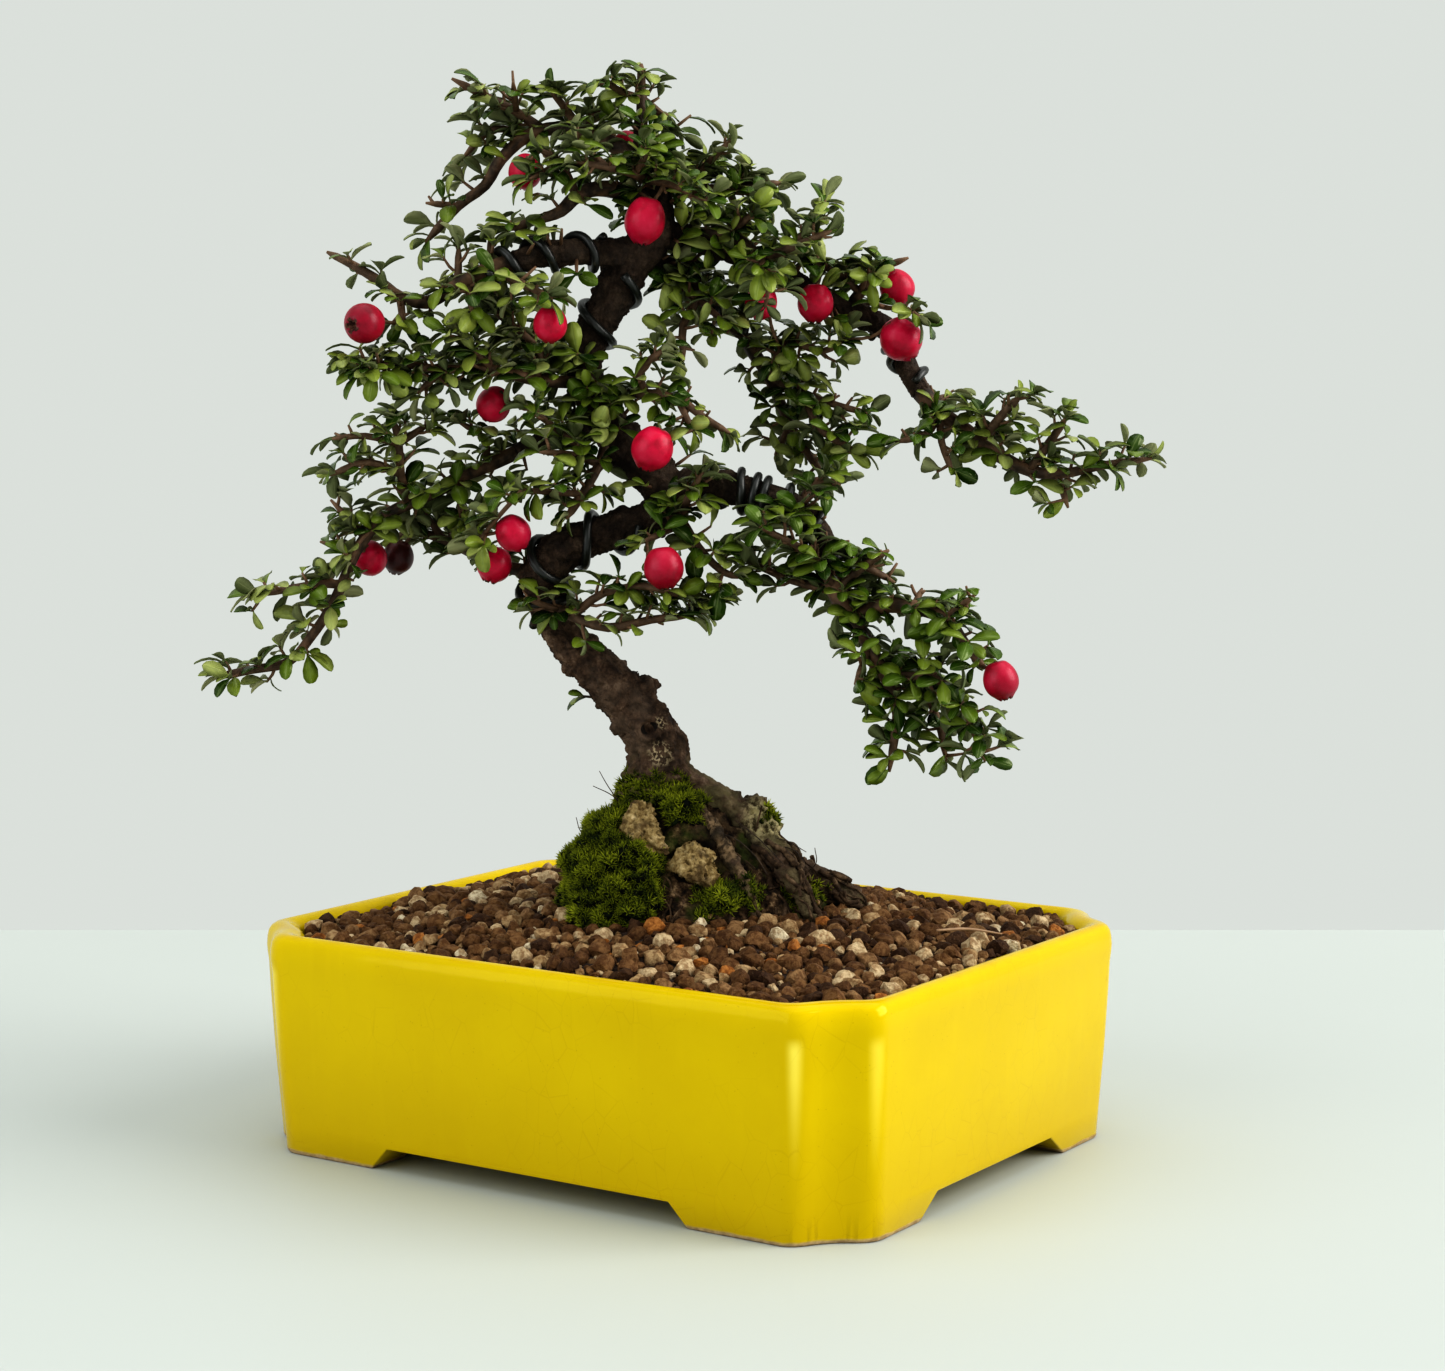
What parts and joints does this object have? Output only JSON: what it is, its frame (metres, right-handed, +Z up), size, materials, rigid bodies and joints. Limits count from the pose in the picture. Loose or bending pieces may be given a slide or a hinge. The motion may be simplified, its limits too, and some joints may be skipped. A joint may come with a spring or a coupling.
{
  "type": "potted bonsai",
  "caption": "Small-leaved cotoneaster bonsai with red berries, an S-shaped wired trunk and a mossy root mound in a rectangular yellow glazed pot on low corner feet.",
  "frame": {"origin": "middle of the part's footprint on the ground, which is the pot's middle to within half a millimetre", "axes": "+Z up; +X along the pot's long side; the picture looks at the front left part of it from an azimuth of 33.4 degrees, so the corner between +X and -Y is nearest the camera"},
  "size_m": [0.1541, 0.1126, 0.2101],
  "materials": {
    "yellow_glaze": "glossy yellow glaze, fine crackle, bare tan clay at the foot edges",
    "screen_plastic": "matte drain screen",
    "soil_granules": "loose baked clay and pumice granules, matte",
    "root_earth": "matted roots and old soil, matte",
    "tan_stone": "porous tan stone, matte",
    "moss": "soft green moss",
    "bark": "rough dark bark",
    "black_wire": "satin black coated wire",
    "leaf": "glossy leaf top, paler matte underside",
    "berry_red": "satin pinkish-red skin"
  },
  "bodies": {
    "root": {"pot": "yellow_glaze", "screen_left": "screen_plastic", "screen_right": "screen_plastic", "soil": "soil_granules", "root_mound": "root_earth", "stone_upper": "tan_stone", "stone_lower": "tan_stone", "moss_left": "moss", "moss_crest": "moss", "moss_right": "moss", "trunk_wood": "bark", "wire_bend": "black_wire", "wire_trunk": "black_wire", "wire_left_upper": "black_wire", "wire_right_lower": "black_wire", "wire_right_upper": "black_wire", "wire_right_hang": "black_wire", "spray_crown_left": "leaf", "spray_crown_top": "leaf", "spray_crown_front": "leaf", "spray_crown_low": "leaf", "spray_crown_right": "leaf", "spray_right_shoulder": "leaf", "spray_right_upper_bud": "leaf", "spray_right_upper_end": "leaf", "spray_right_hang": "leaf", "spray_right_drop": "leaf", "spray_centre_right": "leaf", "spray_right_lower": "leaf", "spray_right_lower_top": "leaf", "spray_left_upper": "leaf", "spray_left_mid": "leaf", "spray_far_left": "leaf", "spray_lower_left": "leaf", "spray_centre_left": "leaf", "spray_lower_centre": "leaf", "spray_centre": "leaf", "berry_crown": "berry_red", "berry_crown_left": "berry_red", "berry_crown_mid": "berry_red", "berry_left": "berry_red", "berry_right_a": "berry_red", "berry_right_b": "berry_red", "berry_right_c": "berry_red", "berry_hang": "berry_red", "berry_middle": "berry_red", "berry_wired": "berry_red", "berry_left_mid": "berry_red", "berry_bend_a": "berry_red", "berry_bend_b": "berry_red", "berry_dark": "berry_red", "berry_far_left": "berry_red", "berry_low": "berry_red", "berry_right_low": "berry_red"}
  },
  "joints": []
}
